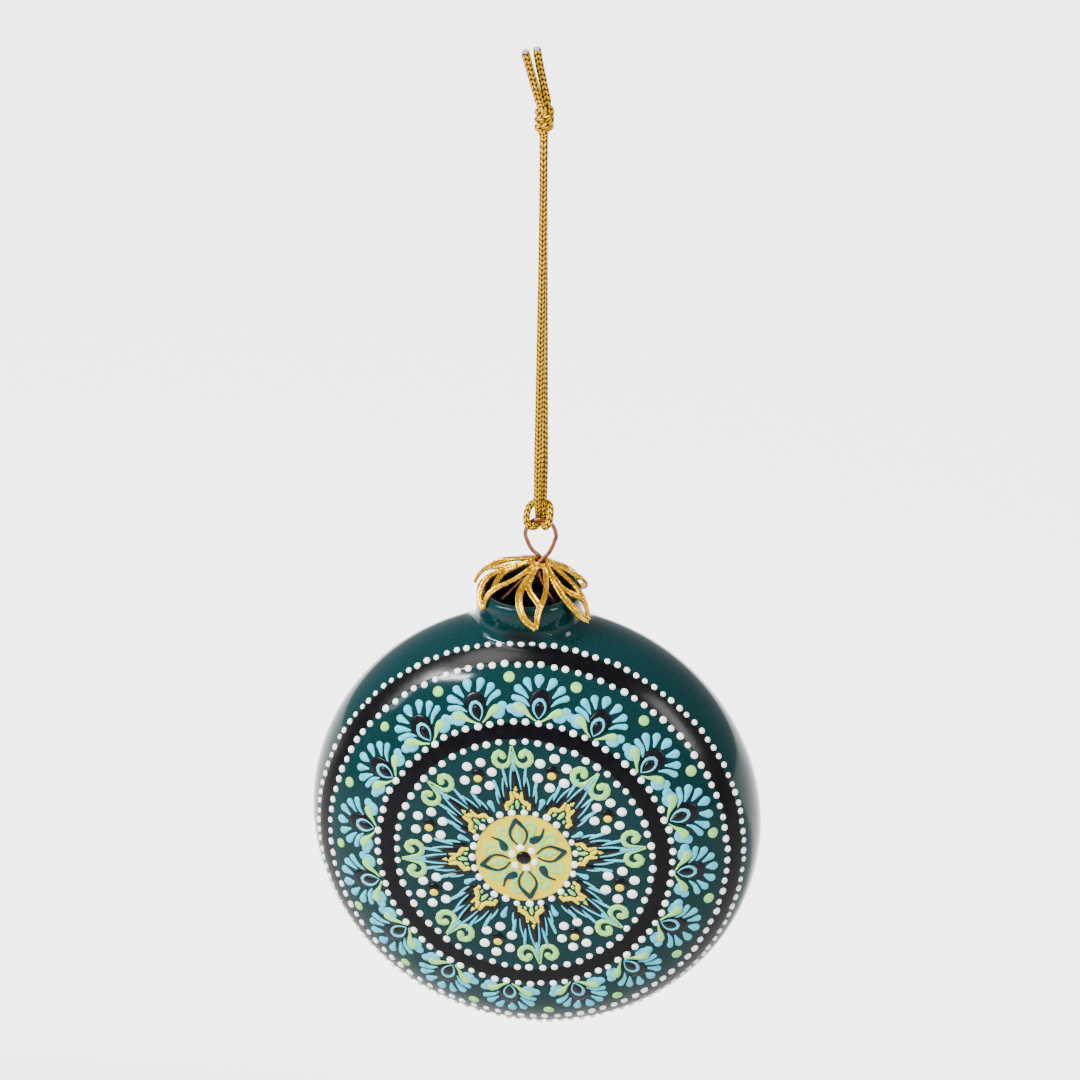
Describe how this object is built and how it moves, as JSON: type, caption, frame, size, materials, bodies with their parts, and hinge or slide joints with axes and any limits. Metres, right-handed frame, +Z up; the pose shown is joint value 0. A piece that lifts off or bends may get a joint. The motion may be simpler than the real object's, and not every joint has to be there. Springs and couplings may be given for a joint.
{
  "type": "hanging ceramic ornament",
  "caption": "Hollow ceramic disc ornament with a painted face, a short neck, a pierced gold petal cap, a wire hanger and a knotted gold cord loop.",
  "frame": {"origin": "the hang point, at the top of the branch or hook that the cord's loop is laid over, just under the knot", "axes": "+Z up, the painted face towards -Y, +X to the right as the painted face is looked at"},
  "size_m": [0.075, 0.03, 0.1722],
  "materials": {
    "glazed_ceramic": "deep teal gloss glaze with raised dot painting",
    "gilt_metal": "gold-plated, granulated and bright at the rims",
    "copper_wire": "drawn copper wire, slightly dulled",
    "gold_cord": "metallic braid"
  },
  "bodies": {
    "cord": {"cord_hitch": "gold_cord", "cord_knot": "gold_cord", "cord_front_strand": "gold_cord", "cord_back_strand": "gold_cord", "cord_left_tail": "gold_cord", "cord_right_tail": "gold_cord"},
    "hanger": {"wire_hanger": "copper_wire"},
    "cap": {"petal_cap": "gilt_metal"},
    "bauble": {"ceramic_body": "glazed_ceramic"}
  },
  "joints": [
    {"name": "hitch_swing", "type": "hinge", "parent": "cord", "child": "hanger", "pos_m": [0, 0, -0.0662], "axis": [1, 0, 0], "range_deg": [-60, 60]},
    {"name": "cap_swivel", "type": "hinge", "parent": "hanger", "child": "cap", "pos_m": [-0.0018, 0, -0.08546], "axis": [0.15, 0, 0.9887], "continuous": true},
    {"name": "hanger_pull", "type": "slide", "parent": "hanger", "child": "bauble", "axis": [0, 0, -1], "range_m": [0, 0.018]}
  ]
}
